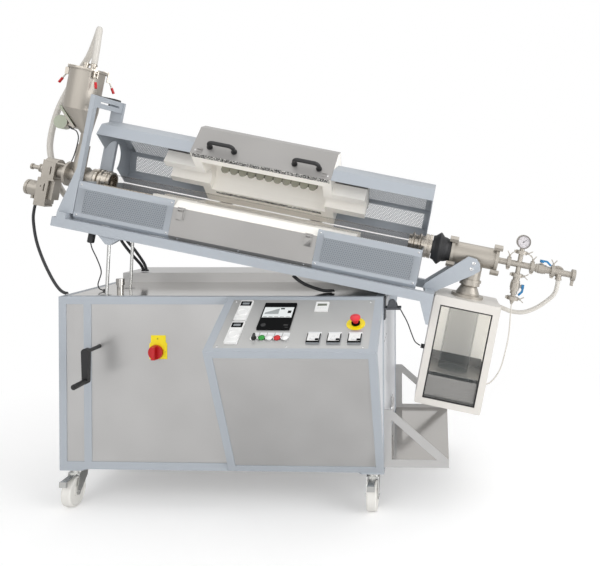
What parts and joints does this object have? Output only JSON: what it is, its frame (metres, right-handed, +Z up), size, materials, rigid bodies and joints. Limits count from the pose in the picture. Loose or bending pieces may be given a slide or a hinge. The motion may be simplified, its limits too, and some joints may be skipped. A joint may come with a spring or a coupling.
{
  "type": "tube furnace",
  "caption": "Tilting split tube furnace with rotating glass tube, powder feeder, collecting box and gas fittings on a wheeled cabinet with a sloping control console.",
  "frame": {"origin": "on the floor under the middle of the whole machine", "axes": "+X along the machine from the feeder to the collecting box, -Y towards the operator, +Z up"},
  "size_m": [2.5209, 1.0575, 2.1065],
  "materials": {
    "grey_coat": "satin",
    "stainless": "satin",
    "polished_steel": "polished",
    "feeder_steel": "satin",
    "zinc": "satin",
    "cream_coat": "gloss",
    "insulation": "matt",
    "quartz": "polished",
    "window_glass": "polished",
    "black_plastic": "satin",
    "black_rubber": "matt",
    "white_plastic": "satin",
    "nylon": "satin",
    "red_plastic": "gloss",
    "green_plastic": "gloss",
    "yellow_plastic": "satin",
    "blue_grip": "satin",
    "hose": "satin",
    "bearing_steel": "satin"
  },
  "bodies": {
    "cabinet": {"cabinet_frame": "grey_coat", "cabinet_panels": "stainless", "console_fascia": "stainless", "table_top": "stainless", "switchgear_box": "stainless", "side_shelf": "stainless", "pivot_bearings": "bearing_steel", "controller": "black_plastic", "panel_instruments": "white_plastic", "switch_plates": "yellow_plastic", "rear_caster_forks": "zinc"},
    "switch_knob": {"switch_knob": "red_plastic"},
    "estop_button": {"estop_button": "red_plastic"},
    "selector_knob": {"selector_knob": "black_plastic"},
    "green_button": {"green_button": "green_plastic"},
    "white_button_left": {"white_button_left": "white_plastic"},
    "red_button": {"red_button": "red_plastic"},
    "white_button_right": {"white_button_right": "white_plastic"},
    "crank": {"crank_arm": "black_plastic"},
    "crank_grip": {"crank_grip": "black_plastic"},
    "caster_left": {"caster_fork_left": "zinc"},
    "caster_right": {"caster_fork_right": "zinc"},
    "front_wheel_left": {"front_wheel_left": "nylon"},
    "front_wheel_right": {"front_wheel_right": "nylon"},
    "rear_wheel_left": {"rear_wheel_left": "nylon"},
    "rear_wheel_right": {"rear_wheel_right": "nylon"},
    "lift": {"lift_rods": "polished_steel"},
    "furnace": {"tilt_frame": "grey_coat", "feed_portal": "grey_coat", "lower_housing": "stainless", "lower_covers": "grey_coat", "lower_insulation": "insulation", "drive_unit": "feeder_steel", "hopper": "feeder_steel", "hopper_lid": "feeder_steel", "feeder_housing": "feeder_steel", "discharge_tee": "feeder_steel", "bellows": "black_rubber", "collecting_box": "cream_coat", "glass_bottle": "quartz", "gas_manifold": "feeder_steel", "vibrator_wire": "black_rubber", "vent_hose": "hose", "exhaust_hose": "hose", "purge_tube": "hose", "motor_cable": "black_rubber", "probe_wire": "black_rubber", "power_cables": "black_rubber", "box_wire": "black_rubber"},
    "feed_screw": {"feed_screw": "polished_steel"},
    "working_tube": {"working_tube": "quartz", "tube_flanges": "feeder_steel"},
    "lid": {"upper_housing": "stainless", "upper_covers": "grey_coat", "upper_insulation": "insulation", "lid_handles": "black_plastic"},
    "box_door": {"box_door": "cream_coat", "box_window": "window_glass"},
    "valve_handle_right": {"valve_handle_right": "blue_grip"},
    "valve_handle_down": {"valve_handle_down": "blue_grip"}
  },
  "joints": [
    {"name": "furnace_tilt", "type": "hinge", "parent": "cabinet", "child": "furnace", "pos_m": [0.44, 0.023, 0.867], "axis": [0, 1, 0], "range_deg": [-8.8, 0], "deforming": ["motor_cable", "probe_wire", "power_cables", "box_wire"]},
    {"name": "lift_pivot", "type": "hinge", "parent": "furnace", "child": "lift", "pos_m": [-0.77823, -0.068, 1.11893], "axis": [0, 1, 0], "range_deg": [0, 8.8]},
    {"name": "crank_turn", "type": "hinge", "parent": "cabinet", "child": "crank", "pos_m": [-0.801, -0.322, 0.684], "axis": [0, 1, 0], "range_deg": [-3600, 0]},
    {"name": "grip_spin", "type": "hinge", "parent": "crank", "child": "crank_grip", "pos_m": [-0.801, -0.377, 0.566], "axis": [0, 1, 0], "continuous": true},
    {"name": "lid_open", "type": "hinge", "parent": "furnace", "child": "lid", "pos_m": [-0.18144, 0.229, 1.23835], "axis": [0.9799, 0, -0.1994], "range_deg": [0, 31.5]},
    {"name": "tube_spin", "type": "hinge", "parent": "furnace", "child": "working_tube", "pos_m": [-0.18024, 0.023, 1.24423], "axis": [0.9799, 0, -0.1994], "continuous": true},
    {"name": "screw_spin", "type": "hinge", "parent": "furnace", "child": "feed_screw", "pos_m": [-1.02984, 0.023, 1.41708], "axis": [0.9799, 0, -0.1994], "continuous": true},
    {"name": "box_door_hinge", "type": "hinge", "parent": "furnace", "child": "box_door", "pos_m": [0.85626, -0.09725, 0.60066], "axis": [0.1994, 0, 0.9799], "range_deg": [0, 110]},
    {"name": "valve_right_turn", "type": "hinge", "parent": "furnace", "child": "valve_handle_right", "pos_m": [1.09848, 0.023, 1.01877], "axis": [0.1994, 0, 0.9799], "range_deg": [0, 90]},
    {"name": "valve_down_turn", "type": "hinge", "parent": "furnace", "child": "valve_handle_down", "pos_m": [1.00984, 0.023, 0.90414], "axis": [0.9799, 0, -0.1994], "range_deg": [0, 90]},
    {"name": "main_switch_turn", "type": "hinge", "parent": "cabinet", "child": "switch_knob", "pos_m": [-0.555, -0.222, 0.661], "axis": [0, 1, 0], "range_deg": [0, 90]},
    {"name": "selector_turn", "type": "hinge", "parent": "cabinet", "child": "selector_knob", "pos_m": [-0.071, -0.45703, 0.7683], "axis": [0, -0.4683, 0.8836], "range_deg": [-45, 45]},
    {"name": "estop_press", "type": "slide", "parent": "cabinet", "child": "estop_button", "axis": [0, 0.4683, -0.8836], "range_m": [0, 0.005]},
    {"name": "green_button_press", "type": "slide", "parent": "cabinet", "child": "green_button", "axis": [0, 0.4683, -0.8836], "range_m": [0, 0.003], "stiffness_N_per_m": 300, "springref_m": -0.003},
    {"name": "white_button_left_press", "type": "slide", "parent": "cabinet", "child": "white_button_left", "axis": [0, 0.4683, -0.8836], "range_m": [0, 0.003], "stiffness_N_per_m": 300, "springref_m": -0.003},
    {"name": "red_button_press", "type": "slide", "parent": "cabinet", "child": "red_button", "axis": [0, 0.4683, -0.8836], "range_m": [0, 0.003], "stiffness_N_per_m": 300, "springref_m": -0.003},
    {"name": "white_button_right_press", "type": "slide", "parent": "cabinet", "child": "white_button_right", "axis": [0, 0.4683, -0.8836], "range_m": [0, 0.003], "stiffness_N_per_m": 300, "springref_m": -0.003},
    {"name": "caster_left_swivel", "type": "hinge", "parent": "cabinet", "child": "caster_left", "pos_m": [-0.925, -0.167, 0.138], "axis": [0, 0, 1], "continuous": true},
    {"name": "front_wheel_left_spin", "type": "hinge", "parent": "caster_left", "child": "front_wheel_left", "pos_m": [-0.925, -0.205, 0.0625], "axis": [1, 0, 0], "continuous": true},
    {"name": "rear_wheel_left_spin", "type": "hinge", "parent": "cabinet", "child": "rear_wheel_left", "pos_m": [-0.925, 0.473, 0.0625], "axis": [1, 0, 0], "continuous": true},
    {"name": "caster_right_swivel", "type": "hinge", "parent": "cabinet", "child": "caster_right", "pos_m": [0.355, -0.167, 0.138], "axis": [0, 0, 1], "continuous": true},
    {"name": "front_wheel_right_spin", "type": "hinge", "parent": "caster_right", "child": "front_wheel_right", "pos_m": [0.355, -0.205, 0.0625], "axis": [1, 0, 0], "continuous": true},
    {"name": "rear_wheel_right_spin", "type": "hinge", "parent": "cabinet", "child": "rear_wheel_right", "pos_m": [0.355, 0.473, 0.0625], "axis": [1, 0, 0], "continuous": true}
  ],
  "couplings": [
    {"joint": "lift_pivot", "follows": "furnace_tilt", "ratio": -1},
    {"joint": "crank_turn", "follows": "furnace_tilt", "ratio": 409.09}
  ]
}
